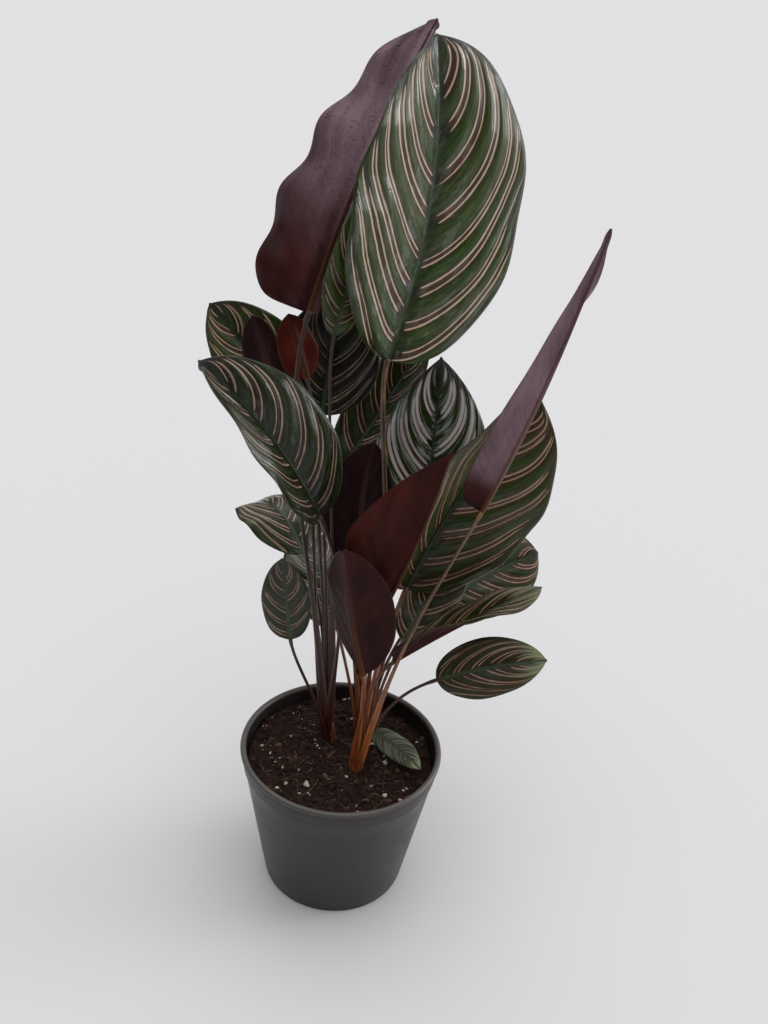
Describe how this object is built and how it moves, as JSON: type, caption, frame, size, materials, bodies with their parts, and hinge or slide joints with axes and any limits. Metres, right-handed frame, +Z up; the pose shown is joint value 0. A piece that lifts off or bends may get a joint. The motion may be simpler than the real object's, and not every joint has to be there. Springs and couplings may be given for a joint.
{
  "type": "potted pinstripe calathea",
  "caption": "Round tapered nursery pot filled with soil, carrying a leafy prayer plant with broad arched and folded striped blades on slim stalks.",
  "frame": {"origin": "middle of the pot's flat underside", "axes": "+Z up, -Y the front that shows the most foliage, +X to the right seen from the front"},
  "size_m": [0.2226, 0.1861, 0.4882],
  "materials": {
    "pot_plastic": "satin charcoal grey",
    "peat": "dark moist potting soil",
    "stalk": "orange-brown plant stalk",
    "leaf": "glossy green leaf with cream pinstripes, purple below"
  },
  "bodies": {
    "root": {"pot": "pot_plastic", "soil": "peat", "shoot_front": "stalk", "shoot_left": "stalk", "shoot_back": "stalk", "leaf_tall_open": "leaf", "leaf_tall_rolled": "leaf", "leaf_dark_middle": "leaf", "leaf_left_bright": "leaf", "leaf_centre_silver": "leaf", "leaf_front_purple": "leaf", "leaf_right_broad": "leaf", "leaf_right_rolled": "leaf", "leaf_right_low": "leaf", "leaf_right_lowest": "leaf", "leaf_right_dark": "leaf", "leaf_right_behind": "leaf", "leaf_centre_purple": "leaf", "leaf_back_stripe": "leaf", "leaf_front_short": "leaf", "leaf_left_dark": "leaf", "leaf_left_back": "leaf", "leaf_seedling": "leaf", "leaf_rear_right": "leaf", "leaf_rear_left": "leaf", "leaf_rear_low": "leaf", "leaf_middle_bright": "leaf", "leaf_left_red": "leaf", "leaf_left_plum": "leaf"}
  },
  "joints": []
}
